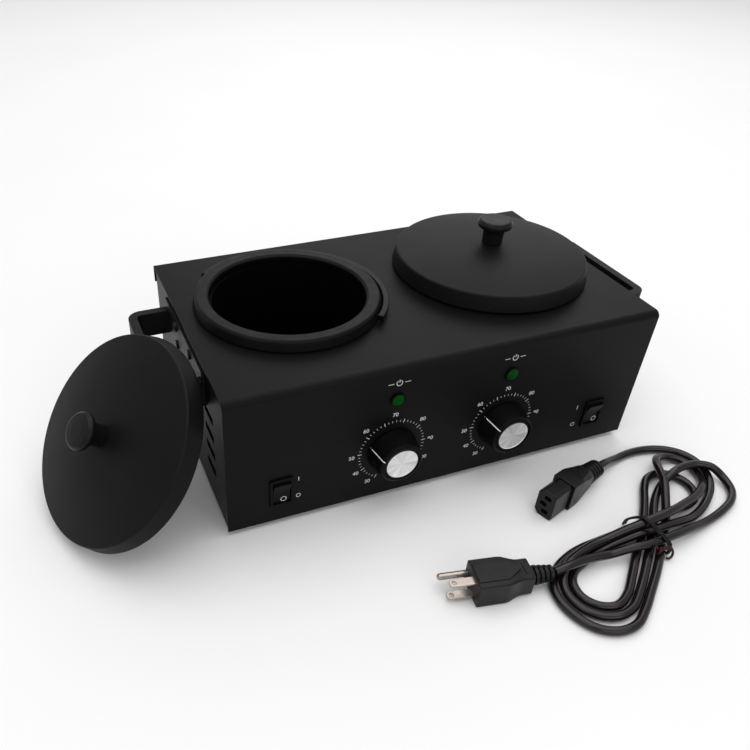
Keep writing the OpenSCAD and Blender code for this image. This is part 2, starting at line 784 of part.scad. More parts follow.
// Socket connector standing on its narrow side, with its strain relief.
module connector() color(moulded) at_connector() {
    difference() {
        rotate([90, 0, 90]) linear_extrude(20) polygon([[-7.6, -12.5], [4, -12.5],
            [7.6, -8.6], [7.6, 8.6], [4, 12.5], [-7.6, 12.5]]);
        for (z = [-7, 0, 7]) {
            translate([6, z == 0 ? 2 : -2, z]) cube([16, 4.4, 2.4], center = true);
        }
    }
    translate([19.9, 0, 0]) rotate([90, 0, 90]) linear_extrude(22) round_rect(17, 25.2, 5);
    translate([41.8, 0, -1]) rotate([0, 90, 0]) relief(27, 8, 5.2, 6);
}

module connector_contacts() color([0.7, 0.65, 0.5]) at_connector() {
    for (z = [-7, 0, 7]) {
        translate([9, z == 0 ? 2 : -2, z]) difference() {
            cube([9.9, 4.2, 2.2], center = true);
            translate([-2, 0, 0]) cube([8, 3.4, 1.2], center = true);
        }
    }
}

house() cover();
house() back_panel();
house() left_side_panel();
house() right_side_panel();
house() base_plate();
house() feet();
house() foot_screws();
house() panel_screws();
house() left_handle();
house() right_handle();
house() handle_screws();
house() left_well();
house() right_well();
house() left_heater_band();
house() right_heater_band();
house() left_insulation();
house() right_insulation();
house() left_thermostat();
house() right_thermostat();
house() sensor_bulbs();
house() bushing_nuts();
house() left_lamp();
house() right_lamp();
house() left_lamp_lens();
house() right_lamp_lens();
house() left_switch_frame();
house() right_switch_frame();
house() left_rocker();
house() right_rocker();
house() power_inlet();
house() inlet_pins();
house() terminal_block();
house() wiring();
house() left_pot();
house() left_rim();
house() left_bail();
house() right_pot();
house() right_rim();
house() right_bail();
house() left_lid();
house() left_lid_knob();
house() left_lid_screw();
house() left_lid_seal();
house() right_lid();
house() right_lid_knob();
house() right_lid_screw();
house() right_lid_seal();
house() left_knob();
house() left_knob_cap();
house() left_shaft();
house() right_knob();
house() right_knob_cap();
house() right_shaft();
cord();
cord_hank();
cord_tie();
plug();
plug_prongs();
connector();
connector_contacts();
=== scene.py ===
"""Looks of a twin wax warmer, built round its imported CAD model: metres, +X right, +Y back, +Z up."""

import json
import math

import bmesh
import bpy
from mathutils import Matrix, Vector
from mathutils.bvhtree import BVHTree


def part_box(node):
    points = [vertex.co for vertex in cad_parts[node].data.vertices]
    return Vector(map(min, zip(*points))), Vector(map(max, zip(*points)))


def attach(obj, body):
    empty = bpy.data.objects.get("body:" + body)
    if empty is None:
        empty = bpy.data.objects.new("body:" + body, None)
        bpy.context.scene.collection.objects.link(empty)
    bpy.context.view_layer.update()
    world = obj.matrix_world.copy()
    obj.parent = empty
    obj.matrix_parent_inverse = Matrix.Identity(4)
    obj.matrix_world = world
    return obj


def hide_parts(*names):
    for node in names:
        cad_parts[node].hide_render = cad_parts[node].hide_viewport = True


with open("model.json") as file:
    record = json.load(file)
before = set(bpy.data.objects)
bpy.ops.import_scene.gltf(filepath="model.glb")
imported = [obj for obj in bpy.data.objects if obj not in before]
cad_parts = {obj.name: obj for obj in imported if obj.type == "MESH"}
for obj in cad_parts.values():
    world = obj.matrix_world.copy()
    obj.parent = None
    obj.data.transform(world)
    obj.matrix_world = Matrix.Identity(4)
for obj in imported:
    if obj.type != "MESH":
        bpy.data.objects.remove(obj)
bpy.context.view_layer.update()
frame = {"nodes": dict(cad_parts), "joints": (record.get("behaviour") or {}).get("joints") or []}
MM = 0.001


# ---------------------------------------------------------------- camera

def add_camera(place_mm, azimuth, down, roll, lens, shift):
    """A camera looking azimuth degrees right of +Y and down degrees below level."""
    data = bpy.data.cameras.new("camera")
    data.lens = lens
    data.sensor_width = 36
    data.shift_x, data.shift_y = shift
    data.clip_start = 0.01
    camera = bpy.data.objects.new("camera", data)
    bpy.context.scene.collection.objects.link(camera)
    aim = Matrix.Rotation(-math.radians(azimuth), 4, "Z")
    tilt = Matrix.Rotation(math.radians(90 - down), 4, "X")
    lean = Matrix.Rotation(math.radians(roll), 4, "Z")
    camera.matrix_world = Matrix.Translation(Vector(place_mm) * MM) @ aim @ tilt @ lean
    bpy.context.scene.camera = camera


add_camera((-224.7, -455.7, 413.2), 21.2, 38.16, 1.03, 35.81, (0.1104, 0.0451))


# ---------------------------------------------------------------- node materials

def new_material(name, colour, roughness, metallic=0.0, specular=0.5):
    """A principled material; returns it with its node tree, shader and object coordinates."""
    material = bpy.data.materials.new(name)
    material.use_nodes = True
    tree = material.node_tree
    shader = tree.nodes["Principled BSDF"]
    shader.inputs["Base Color"].default_value = (*colour, 1)
    shader.inputs["Roughness"].default_value = roughness
    shader.inputs["Metallic"].default_value = metallic
    shader.inputs["Specular IOR Level"].default_value = specular
    coords = tree.nodes.new("ShaderNodeTexCoord")
    return material, tree, shader, coords.outputs["Object"]


def noise(tree, coords, scale, detail=3.0, rough=0.5):
    """A noise texture's value, from 0 to 1."""
    node = tree.nodes.new("ShaderNodeTexNoise")
    node.inputs["Scale"].default_value = scale
    node.inputs["Detail"].default_value = detail
    node.inputs["Roughness"].default_value = rough
    tree.links.new(coords, node.inputs["Vector"])
    return node.outputs["Fac"]


def remap(tree, value, low, high, to_low, to_high):
    """The value moved from one range to another, and clamped to it."""
    node = tree.nodes.new("ShaderNodeMapRange")
    for name, number in zip(("From Min", "From Max", "To Min", "To Max"), (low, high, to_low, to_high)):
        node.inputs[name].default_value = number
    tree.links.new(value, node.inputs["Value"])
    return node.outputs["Result"]


def blend_colours(tree, value, low, high):
    """A colour that goes from low to high as the value goes from 0.3 to 0.7."""
    ramp = tree.nodes.new("ShaderNodeValToRGB")
    ramp.color_ramp.elements[0].position = 0.3
    ramp.color_ramp.elements[1].position = 0.7
    ramp.color_ramp.elements[0].color = (*low, 1)
    ramp.color_ramp.elements[1].color = (*high, 1)
    tree.links.new(value, ramp.inputs["Fac"])
    return ramp.outputs["Color"]


def bump(tree, shader, height, depth_mm, strength=1.0, under=None):
    """Bumps the shader's normal by a height, on top of the normal under it."""
    node = tree.nodes.new("ShaderNodeBump")
    node.inputs["Strength"].default_value = strength
    node.inputs["Distance"].default_value = depth_mm * MM
    tree.links.new(height, node.inputs["Height"])
    if under is not None:
        tree.links.new(under, node.inputs["Normal"])
    tree.links.new(node.outputs["Normal"], shader.inputs["Normal"])
    return node.outputs["Normal"]


def shade(colour, factor):
    """A colour made darker or lighter."""
    return tuple(min(1.0, c * factor) for c in colour)


def powder_coat(name, colour, roughness, specular):
    """Fine-grained matte powder coat with faint handling marks."""
    material, tree, shader, at = new_material(name, colour, roughness, specular=specular)
    cloud = noise(tree, at, 22, 4)
    tree.links.new(blend_colours(tree, cloud, shade(colour, 0.9), shade(colour, 1.12)),
                   shader.inputs["Base Color"])
    marks = noise(tree, at, 60, 6, 0.6)
    tree.links.new(remap(tree, marks, 0.3, 0.7, roughness - 0.015, roughness + 0.02),
                   shader.inputs["Roughness"])
    peel = bump(tree, shader, noise(tree, at, 900, 2), 0.035)
    bump(tree, shader, noise(tree, at, 3200, 2), 0.018, under=peel)
    return material


def moulded(name, colour, roughness=0.42, grain=1800, depth=0.012, specular=0.45):
    """Moulded plastic or rubber with a fine spark-eroded grain."""
    material, tree, shader, at = new_material(name, colour, roughness, specular=specular)
    cloud = noise(tree, at, 45, 3)
    tree.links.new(blend_colours(tree, cloud, shade(colour, 0.88), shade(colour, 1.15)),
                   shader.inputs["Base Color"])
    tree.links.new(remap(tree, noise(tree, at, 120, 4), 0.3, 0.7, roughness - 0.05, roughness + 0.06),
                   shader.inputs["Roughness"])
    bump(tree, shader, noise(tree, at, grain, 2), depth)
    return material


def metal(name, colour, roughness=0.3, streak=(900, 900, 900), depth=0.004):
    """Worked metal: streaks stretched along one direction set its finish."""
    material, tree, shader, at = new_material(name, colour, roughness, metallic=1.0)
    mapping = tree.nodes.new("ShaderNodeMapping")
    mapping.inputs["Scale"].default_value = streak
    tree.links.new(at, mapping.inputs["Vector"])
    lines = noise(tree, mapping.outputs["Vector"], 1.0, 3)
    tree.links.new(remap(tree, lines, 0.3, 0.7, roughness - 0.08, roughness + 0.1),
                   shader.inputs["Roughness"])
    stain = noise(tree, at, 70, 4)
    tree.links.new(blend_colours(tree, stain, shade(colour, 0.88), colour), shader.inputs["Base Color"])
    bump(tree, shader, lines, depth)
    return material


CAP_BEAD_R = 12.3
BEAD_BLACK = (0.003, 0.003, 0.003, 1)


def spun_disc(name, colour, centre):
    """Turned aluminium about an axis along Y through centre, with painted reflection (lighter and darker
    sectors round the axis in its colour) and a black bead round its edge.
    """
    material, tree, shader, at = new_material(name, colour, 0.36, metallic=0.5)
    shader.inputs["Anisotropic"].default_value = 0.5
    tangent = tree.nodes.new("ShaderNodeTangent")
    tangent.direction_type = "RADIAL"
    tangent.axis = "Y"
    tree.links.new(tangent.outputs["Tangent"], shader.inputs["Tangent"])
    offset = tree.nodes.new("ShaderNodeVectorMath")
    offset.operation = "SUBTRACT"
    offset.inputs[1].default_value = centre
    tree.links.new(at, offset.inputs[0])
    flat = tree.nodes.new("ShaderNodeVectorMath")
    flat.operation = "MULTIPLY"
    flat.inputs[1].default_value = (1, 0, 1)
    tree.links.new(offset.outputs["Vector"], flat.inputs[0])
    radius = tree.nodes.new("ShaderNodeVectorMath")
    radius.operation = "LENGTH"
    tree.links.new(flat.outputs["Vector"], radius.inputs[0])
    rings = tree.nodes.new("ShaderNodeTexNoise")
    rings.noise_dimensions = "1D"
    rings.inputs["Scale"].default_value = 5200
    rings.inputs["Detail"].default_value = 2
    tree.links.new(radius.outputs["Value"], rings.inputs["W"])
    tree.links.new(remap(tree, rings.outputs["Fac"], 0.25, 0.75, 0.3, 0.44), shader.inputs["Roughness"])
    parts = tree.nodes.new("ShaderNodeSeparateXYZ")
    tree.links.new(flat.outputs["Vector"], parts.inputs["Vector"])
    angle = tree.nodes.new("ShaderNodeMath")
    angle.operation = "ARCTAN2"
    tree.links.new(parts.outputs["Z"], angle.inputs[0])
    tree.links.new(parts.outputs["X"], angle.inputs[1])
    # Painted reflection: the base colour goes darker and lighter in sectors by angle round the axis,
    # standing in for the light a turned finish reflects.
    painted_reflection_fan = tree.nodes.new("ShaderNodeTexNoise")
    painted_reflection_fan.noise_dimensions = "1D"
    painted_reflection_fan.inputs["Scale"].default_value = 1.7
    painted_reflection_fan.inputs["Detail"].default_value = 4
    tree.links.new(angle.outputs[0], painted_reflection_fan.inputs["W"])
    edge = tree.nodes.new("ShaderNodeMix")
    edge.data_type = "RGBA"
    factor, inside, outside, result = edge.inputs[0], edge.inputs[6], edge.inputs[7], edge.outputs[2]
    outside.default_value = BEAD_BLACK
    beyond = remap(tree, radius.outputs["Value"], CAP_BEAD_R * MM, (CAP_BEAD_R + 0.2) * MM, 0, 1)
    tree.links.new(beyond, factor)
    # Inside the bead the cap gets the painted reflection sectors; outside it, the black bead.
    tree.links.new(blend_colours(tree, painted_reflection_fan.outputs["Fac"], shade(colour, 0.66), colour), inside)
    tree.links.new(result, shader.inputs["Base Color"])
    bump(tree, shader, rings.outputs["Fac"], 0.006, 0.7)
    return material


def woven_sleeve(name, colour):
    """Woven glass sleeve: crossed waves stand for its warp and weft."""
    material, tree, shader, at = new_material(name, colour, 0.85)
    shader.inputs["Sheen Weight"].default_value = 0.3
    waves = []
    for direction in ("Z", "DIAGONAL"):
        wave = tree.nodes.new("ShaderNodeTexWave")
        wave.bands_direction = direction
        wave.inputs["Scale"].default_value = 260
        wave.inputs["Distortion"].default_value = 1.5
        tree.links.new(at, wave.inputs["Vector"])
        waves.append(wave.outputs["Fac"])
    both = tree.nodes.new("ShaderNodeMath")
    both.operation = "MULTIPLY"
    for socket, wave in zip(both.inputs, waves):
        tree.links.new(wave, socket)
    tree.links.new(blend_colours(tree, both.outputs[0], shade(colour, 0.75), colour),
                   shader.inputs["Base Color"])
    bump(tree, shader, both.outputs[0], 0.2)
    return material


def lamp_lens(name):
    """Moulded green lens with fine cells and a dim glow."""
    bright, dark = (0.0004, 0.05, 0.0035), (0.0002, 0.022, 0.0015)
    material, tree, shader, at = new_material(name, bright, 0.35, specular=0.04)
    shader.inputs["Emission Color"].default_value = (0.0, 0.5, 0.02, 1)
    shader.inputs["Emission Strength"].default_value = 0.009
    cells = tree.nodes.new("ShaderNodeTexVoronoi")
    cells.inputs["Scale"].default_value = 1500
    tree.links.new(at, cells.inputs["Vector"])
    tree.links.new(blend_colours(tree, cells.outputs["Distance"], bright, dark), shader.inputs["Base Color"])
    bump(tree, shader, cells.outputs["Distance"], 0.05)
    return material


def printed_ink(name, colour):
    """Screen-printed ink, a little worn."""
    material, tree, shader, at = new_material(name, colour, 0.6)
    wear = noise(tree, at, 900, 4)
    tree.links.new(blend_colours(tree, wear, shade(colour, 0.72), colour), shader.inputs["Base Color"])
    return material


BODY_COAT = powder_coat("body_powder_coat", (0.0036, 0.0036, 0.0038), 0.42, 0.075)
LID_COAT = powder_coat("lid_powder_coat", (0.004, 0.004, 0.0042), 0.45, 0.1)
NYLON = moulded("black_nylon", (0.004, 0.004, 0.0042), 0.45, 1400, 0.02, 0.12)
SATIN = moulded("black_plastic", (0.002, 0.002, 0.0021), 0.36, 1800, 0.01, 0.07)
PHENOLIC = moulded("black_phenolic", (0.004, 0.004, 0.0042), 0.36, 900, 0.006, 0.14)
RIM = moulded("rim_plastic", (0.0032, 0.0032, 0.0034), 0.42, 1500, 0.014, 0.1)
FOOT = moulded("foot_rubber", (0.02, 0.02, 0.02), 0.75, 1600, 0.03)
SEAL = moulded("silicone", (0.045, 0.045, 0.047), 0.6, 700, 0.01)
CORD = moulded("cord_pvc", (0.0068, 0.0036, 0.004), 0.2, 500, 0.006, 0.36)
PLUG = moulded("plug_pvc", (0.004, 0.0036, 0.0036), 0.38, 1300, 0.018, 0.22)
TIE_END = moulded("tie_end", (0.03, 0.007, 0.007), 0.4, 1800, 0.01, 0.2)
TIE = moulded("tie_plastic", (0.004, 0.004, 0.004), 0.4, 1800, 0.01, 0.2)
WHITE = moulded("white_plastic", (0.78, 0.78, 0.73), 0.4)
WIRE = moulded("wire_red", (0.45, 0.03, 0.025), 0.4)
POT = powder_coat("pot_non_stick", (0.0012, 0.0012, 0.0012), 0.6, 0.03)
BAIL = powder_coat("bail_coat", (0.0035, 0.0035, 0.0037), 0.4, 0.12)
ZINC = metal("zinc_steel", (0.5, 0.5, 0.52), 0.34)
BLACKENED = moulded("blackened_steel", (0.006, 0.006, 0.006), 0.4, 1800, 0.01, 0.2)
WELL = metal("spun_well", (0.7, 0.7, 0.71), 0.36, (300, 300, 4000))
BAND = metal("band_steel", (0.52, 0.48, 0.42), 0.4, (200, 200, 2500))
BOX = metal("box_steel", (0.58, 0.56, 0.5), 0.35)
COPPER = metal("copper_tube", (0.7, 0.36, 0.22), 0.3)
NICKEL = metal("nickel_blade", (0.40, 0.345, 0.31), 0.3, (400, 3000, 3000), 0.003)
SLEEVE = woven_sleeve("glass_sleeve", (0.78, 0.74, 0.6))
LENS = lamp_lens("green_lens")
INK = printed_ink("pale_ink", (0.62, 0.62, 0.62))
POINTER = printed_ink("pointer_ink", (0.9, 0.9, 0.9))


# ---------------------------------------------------------------- mesh helpers

def rounded(corners, closed=False, step=9):
    """An outline through (x, y, radius) corners, each turned on an arc of its radius."""
    out = []
    count = len(corners)
    for i, (x, y, radius) in enumerate(corners):
        here = Vector((x, y))
        ends = not closed and i in (0, count - 1)
        if ends or radius == 0:
            out.append(here)
            continue
        back = (Vector(corners[i - 1][:2]) - here).normalized()
        ahead = (Vector(corners[(i + 1) % count][:2]) - here).normalized()
        half = back.angle(ahead) / 2
        centre = here + (back + ahead).normalized() * radius / math.sin(half)
        start = here + back * radius / math.tan(half) - centre
        stop = here + ahead * radius / math.tan(half) - centre
        turn = start.angle_signed(stop)
        pieces = max(2, math.ceil(abs(math.degrees(turn)) / step - 0.01))
        for k in range(pieces + 1):
            angle = -turn * k / pieces
            c, s = math.cos(angle), math.sin(angle)
            out.append(centre + Vector((start.x * c - start.y * s, start.x * s + start.y * c)))
    return out


def link_mesh(name, mesh):
    """Links a bmesh as a new object, and frees the bmesh."""
    data = bpy.data.meshes.new(name)
    mesh.to_mesh(data)
    mesh.free()
    made = bpy.data.objects.new(name, data)
    bpy.context.scene.collection.objects.link(made)
    return made


def clean(mesh):
    """Merges the mesh's doubled points and turns its faces outwards."""
    bmesh.ops.remove_doubles(mesh, verts=mesh.verts, dist=1e-7)
    bmesh.ops.recalc_face_normals(mesh, faces=mesh.faces)


def add_piece(name, mesh, material, body, place=None):
    """Links a finished bmesh as a piece that rides on a CAD body."""
    clean(mesh)
    if place is not None:
        mesh.transform(place)
    piece = link_mesh(name, mesh)
    piece.data.materials.append(material)
    piece.data.shade_smooth()
    weighted = piece.modifiers.new("weighted", "WEIGHTED_NORMAL")
    weighted.keep_sharp = True
    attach(piece, body)
    return piece


def bevel(piece, width_mm, segments=2, angle=32):
    """Rounds a piece's hard edges, ahead of its weighted normals."""
    modifier = piece.modifiers.new("bevel", "BEVEL")
    modifier.width = width_mm * MM
    modifier.segments = segments
    modifier.limit_method = "ANGLE"
    modifier.angle_limit = math.radians(angle)
    weighted = piece.modifiers.get("weighted")
    if weighted is not None:
        piece.modifiers.move(len(piece.modifiers) - 1, 0)


def grid_faces(mesh, rings, wrap_rings=False, wrap_sides=True):
    """Joins equal rings of vertices with quads."""
    count = len(rings[0])
    last = len(rings) if wrap_rings else len(rings) - 1
    sides = count if wrap_sides else count - 1
    for i in range(last):
        low, high = rings[i], rings[(i + 1) % len(rings)]
        for k in range(sides):
            n = (k + 1) % count
            corners = (low[k], low[n], high[n], high[k])
            if len(set(corners)) == 4:
                mesh.faces.new(corners)


def close_skin(mesh, rings):
    """Joins rings of vertices with quads, and caps the first and last ring."""
    grid_faces(mesh, rings)
    mesh.faces.new(rings[0])
    mesh.faces.new(rings[-1])


def lathe(outline_mm, steps=160, closed=False, flutes=None):
    """A body of revolution about Z. flutes is (count, depth, low, high) in millimetres."""
    mesh = bmesh.new()
    rings = []
    for k in range(steps):
        angle = 2 * math.pi * k / steps
        ring = []
        for r, z in outline_mm:
            if flutes is not None:
                number, depth, low, high = flutes
                fade = min(1, max(0, (z - low) / 0.8)) * min(1, max(0, (high - z) / 0.8))
                if r > 8:
                    r = r - depth * fade * (0.5 - 0.5 * math.cos(number * angle)) ** 2
            ring.append(mesh.verts.new((r * MM * math.cos(angle), r * MM * math.sin(angle), z * MM)))
        rings.append(ring)
    grid_faces(mesh, rings, wrap_rings=True, wrap_sides=closed)
    return mesh


def along(path, spacing):
    """Even points along a smooth curve through path, by centripetal Catmull-Rom steps."""
    points = [2 * path[0] - path[1], *path, 2 * path[-1] - path[-2]]
    fine = []
    for i in range(1, len(points) - 2):
        p = points[i - 1:i + 3]
        t = [0.0]
        for a, b in zip(p, p[1:]):
            t.append(t[-1] + math.sqrt((b - a).length))
        for k in range(16):
            u = t[1] + (t[2] - t[1]) * k / 16
            a = [p[j].lerp(p[j + 1], (u - t[j]) / (t[j + 1] - t[j])) for j in range(3)]
            b = [a[j].lerp(a[j + 1], (u - t[j]) / (t[j + 2] - t[j])) for j in range(2)]
            fine.append(b[0].lerp(b[1], (u - t[1]) / (t[2] - t[1])))
    fine.append(path[-1].copy())
    out, left = [fine[0]], spacing
    for a, b in zip(fine, fine[1:]):
        length = (b - a).length
        while length >= left and length > 0:
            a = a.lerp(b, left / length)
            out.append(a)
            length = (b - a).length
            left = spacing
        left -= length
    if (out[-1] - fine[-1]).length > spacing * 0.3:
        out.append(fine[-1])
    return out


def tube(path, radius, sides=24):
    """A round tube swept along points in metres, its rings carried without twist."""
    mesh = bmesh.new()
    rings = []
    up = Vector((0, 0, 1))
    for i, here in enumerate(path):
        ahead = (path[min(i + 1, len(path) - 1)] - path[max(i - 1, 0)]).normalized()
        across = up.cross(ahead).normalized()
        up = ahead.cross(across).normalized()
        ring = []
        for k in range(sides):
            a = 2 * math.pi * k / sides
            ring.append(mesh.verts.new(here + (across * math.cos(a) + up * math.sin(a)) * radius))
        rings.append(ring)
    close_skin(mesh, rings)
    return mesh


def loft(stations_mm):
    """A closed skin through equal outlines; each station is (x, [(y, z), ...])."""
    mesh = bmesh.new()
    rings = [[mesh.verts.new(Vector((x, y, z)) * MM) for y, z in outline] for x, outline in stations_mm]
    close_skin(mesh, rings)
    return mesh


def slab(outline_mm, low, high):
    """A flat plate with the outline, between two heights."""
    mesh = bmesh.new()
    rings = [[mesh.verts.new(Vector((x, y, z)) * MM) for x, y in outline_mm] for z in (low, high)]
    close_skin(mesh, rings)
    return mesh


def cut_out(piece, shape):
    """Cuts a bmesh's shape out of a piece."""
    clean(shape)
    tool = link_mesh("tool", shape)
    modifier = piece.modifiers.new("cut", "BOOLEAN")
    modifier.object = tool
    modifier.solver = "EXACT"
    piece.modifiers.move(len(piece.modifiers) - 1, 0)
    weighted = piece.modifiers.get("weighted")
    if weighted is not None:
        weighted.show_viewport = False
    bpy.context.view_layer.update()
    evaluated = piece.evaluated_get(bpy.context.evaluated_depsgraph_get())
    cut = bpy.data.meshes.new_from_object(evaluated)
    piece.modifiers.remove(modifier)
    if weighted is not None:
        weighted.show_viewport = True
    piece.data = cut
    bpy.data.objects.remove(tool)


# ---------------------------------------------------------------- mains lead

CORD_D = 6.4
ROUTE = [
    # from the connector, round the outside of the far lobe
    (163, -131.5, 11.5), (172, -128.5, 10), (183, -124.5, 6.5), (194, -121.5, 4), (205, -119.5, 3.4),
    (217, -119.5, 3.4), (230, -122, 3.4), (242, -128, 3.4), (250, -137, 3.4), (253, -149, 3.4),
    (250, -162, 3.4), (241, -174.5, 3.4), (228, -184.5, 3.4), (214, -192, 4), (201, -196.5, 5.5),
    # over the crossing and round the inside of the near lobe
    (188, -199, 8.5), (175, -200, 10.5), (160, -200, 10.5), (145, -199.5, 10), (131, -199, 7),
    (118, -199, 4), (106, -201, 3.4), (95, -204.5, 3.4), (84.5, -209, 3.4), (77.5, -217.5, 3.4),
    (76.5, -229, 3.4), (83, -238.5, 3.4), (94.5, -242.3, 3.4), (106.5, -237.5, 3.4), (122, -224.5, 3.4),
    # under the crossing and round the inside of the far lobe
    (138, -210, 3.4), (153.5, -196.5, 3.4), (168.5, -182, 3.4), (181, -168.5, 3.4), (191, -157, 3.4),
    (200.5, -149.3, 3.4), (211.5, -147.5, 3.4), (221.2, -152.6, 3.4), (226.4, -162.6, 3.4),
    (225, -173.4, 3.4), (218.5, -180.8, 3.4), (210, -184, 4),
    # over the crossing and round the outside of the near lobe
    (201, -185.7, 5.2), (189, -187.8, 8.8), (176, -190, 10.5), (161, -192, 10.5), (147, -192.5, 9.5),
    (133, -191.5, 6), (119, -191, 3.5), (105, -192, 3.4), (91, -195, 3.4), (76, -201.5, 3.4),
    (64.5, -212, 3.4), (60.5, -226, 3.4), (63, -241, 3.4), (70.5, -253, 3.4), (83, -259.5, 3.4),
    (97, -259, 3.4), (110, -251.5, 3.4), (124.5, -240.5, 3.4),
    # under the crossing and over the top of the far lobe
    (141, -227.5, 3.4), (156, -214.5, 3.4), (171, -201, 3.4), (184, -188.5, 3.4), (194, -176, 6.5),
    (202, -163.5, 11.5), (207, -153, 12), (212.8, -143.6, 10.5), (219, -137.2, 8.5), (227.5, -134.8, 6),
    (236, -137.2, 4.5), (242.3, -143.5, 3.5), (244.8, -152, 3.4), (242.8, -161, 3.6), (237, -168.8, 5.5),
    (227.5, -176.5, 9), (213, -184, 11),
    # over the crossing, on top of the others, and round the middle of the near lobe
    (198, -188.5, 13.2), (183, -192.5, 15.5), (168, -195, 16.5), (153, -196, 16.5), (138, -195.5, 14),
    (123, -195, 10), (109, -196, 9), (96, -199, 9), (83, -203.5, 8.5), (74, -210.5, 5.5),
    (69, -221.5, 3.4), (70, -235, 3.4), (78.5, -245.5, 3.4), (91, -249.8, 3.4), (104, -247, 3.4),
    # under the crossing and round the end of the far lobe
    (117, -238, 3.4), (132, -225.7, 3.4), (147, -212.5, 3.4), (162, -199, 3.4), (175, -185.5, 3.4),
    (186, -174, 3.4), (197, -165, 4), (209, -158.5, 6.5), (220.5, -155, 10), (232, -153.5, 10.5),
    (243.5, -155, 10.5), (252.5, -161, 10), (257, -171, 5.5), (254.5, -182.5, 3.4), (245, -191.5, 3.4),
    # over the crossing to the plug
    (231, -197.5, 3.4), (216, -201.5, 3.4), (202, -204.5, 5), (188, -207, 8), (174, -209, 10),
    (160, -210, 10.5), (145, -210, 10.5), (130, -208.5, 10), (116, -207, 8), (103, -206.5, 9.5),
    (90, -207.5, 12.2), (77, -208.5, 12.8), (65, -209, 11.5),
]
cord_path = along([Vector(p) * MM for p in ROUTE], 2 * MM)
cord = add_piece("mains_cord", tube(cord_path, CORD_D / 2 * MM), CORD, "housing")
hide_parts("cord", "cord_hank")


def round_box(y, z, radius, step=9):
    """Outline of a box of half sizes y and z with rounded corners."""
    return rounded([(-y, -z, radius), (y, -z, radius), (y, z, radius), (-y, z, radius)], True, step)


def relief(length, thick, thin, ribs, core):
    """Profile of a ribbed strain relief, as (radius, distance) from its wide end."""
    corners = [(0.01, 0, 0), (thick, 0, 0)]
    pitch = length / ribs
    for i in range(ribs):
        outer = thick + (thin - thick) * i / (ribs - 1)
        inner = outer - core
        start = i * pitch
        corners += [(outer, start + 0.05, 0.4), (outer, start + 0.64 * pitch, 0.5),
                    (inner, start + 0.7 * pitch, 0.25), (inner, start + 0.98 * pitch, 0.25)]
    corners += [(thin - 0.3, length, 0.4), (CORD_D / 2 - 0.1, length + 0.4, 0)]
    return rounded(corners, step=20)


def place_along(start, towards):
    """A matrix with local X towards a direction and local Z as near up as it can be."""
    x = Vector(towards).normalized()
    y = Vector((0, 0, 1)).cross(x).normalized()
    z = x.cross(y)
    turn = Matrix((x, y, z)).transposed().to_4x4()
    return Matrix.Translation(Vector(start) * MM) @ turn


LATHE_TO_X = Matrix.Rotation(math.radians(90), 4, "Y")
PLUG_FACE = Vector((8, -197.5, 10.4))
PLUG_YAW = math.radians(169.6)
CONNECTOR_FACE = Vector((97.8, -153, 12.6))
CONNECTOR_YAW = math.radians(18.4)


def lead_piece(name, mesh, place=None):
    """A moulded piece of the plug or the connector."""
    return add_piece(name, mesh, PLUG, "housing", place)


def add_relief(name, start, end, thick, thin):
    """A ribbed strain relief from a moulding to where the cord leaves it."""
    profile = relief((end - start).length, thick, thin, 5, 2.2)
    return lead_piece(name, lathe(profile, 64), place_along(start, end - start) @ LATHE_TO_X)


def add_plug():
    """Moulded plug on its grip face: a wide head, a waisted grip and a ribbed relief."""
    back = Vector((-math.cos(PLUG_YAW), -math.sin(PLUG_YAW), 0))
    place = place_along(PLUG_FACE, back)
    sizes = [(0, 12.1, 9.8, 1.0), (0.4, 12.5, 10.2, 1.2), (20, 12.5, 10.2, 1.4), (23, 12.2, 10.1, 1.5),
             (26, 11.1, 9.8, 1.6), (29, 10.0, 9.4, 1.6), (32, 9.2, 9.0, 1.6), (35, 9.0, 8.9, 1.6),
             (40.4, 9.0, 8.9, 1.6), (40.9, 8.5, 8.4, 1.4)]
    plug = lead_piece("plug_body", loft([(x, round_box(y, z, r, 18)) for x, y, z, r in sizes]), place)
    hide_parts("plug")
    sleeve = add_relief("plug_relief", PLUG_FACE + back * 40.5, Vector(ROUTE[-1]), 7.2, 5.8)
    arrow = [(0.9, -8.2), (22, -8.2), (32.5, -1.2), (32.5, 1.2), (22, 8.2), (0.9, 8.2)]
    grip = lead_piece("plug_grip_panel", slab(arrow, 9.0, 10.85), place)
    bevel(grip, 0.35)
    ridge = slab([(35.4, -4.4), (36.9, -4.4), (36.9, 4.4), (35.4, 4.4)], 8.6, 9.5)
    bar = lead_piece("plug_ridge", ridge, place)
    bevel(bar, 0.3)
    return [plug, sleeve, grip, bar, *add_prongs(place)]


def add_prongs(place):
    """Two flat blades with rounded tips and a hole, and the round earth pin."""
    parts = []
    outline = rounded([(6, -5.9, 0), (-18, -5.9, 2.4), (-18, 0.5, 2.4), (6, 0.5, 0)], True, 15)
    for i, z in enumerate((-6.35, 6.35)):
        plate = slab(outline, z - 0.75, z + 0.75)
        blade = add_piece(f"prong_blade_{i}", plate, NICKEL, "housing")
        hole = lathe([(0.01, z - 3), (1.6, z - 3), (1.6, z + 3), (0.01, z + 3)], 40)
        hole.transform(Matrix.Translation((-14.6 * MM, -2.7 * MM, 0)))
        cut_out(blade, hole)
        blade.data.transform(place)
        bevel(blade, 0.25)
        parts.append(blade)
    pin = rounded([(0.01, 0, 0), (2.4, 0, 0), (2.4, 27.8, 2.3), (0.01, 27.8, 0)])
    aim = Matrix.Translation((6 * MM, 9.2 * MM, 0)) @ Matrix.Rotation(math.radians(-90), 4, "Y")
    earth = add_piece("prong_earth", lathe(pin, 48), NICKEL, "housing", place @ aim)
    parts.append(earth)
    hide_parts("plug_prongs")
    return parts


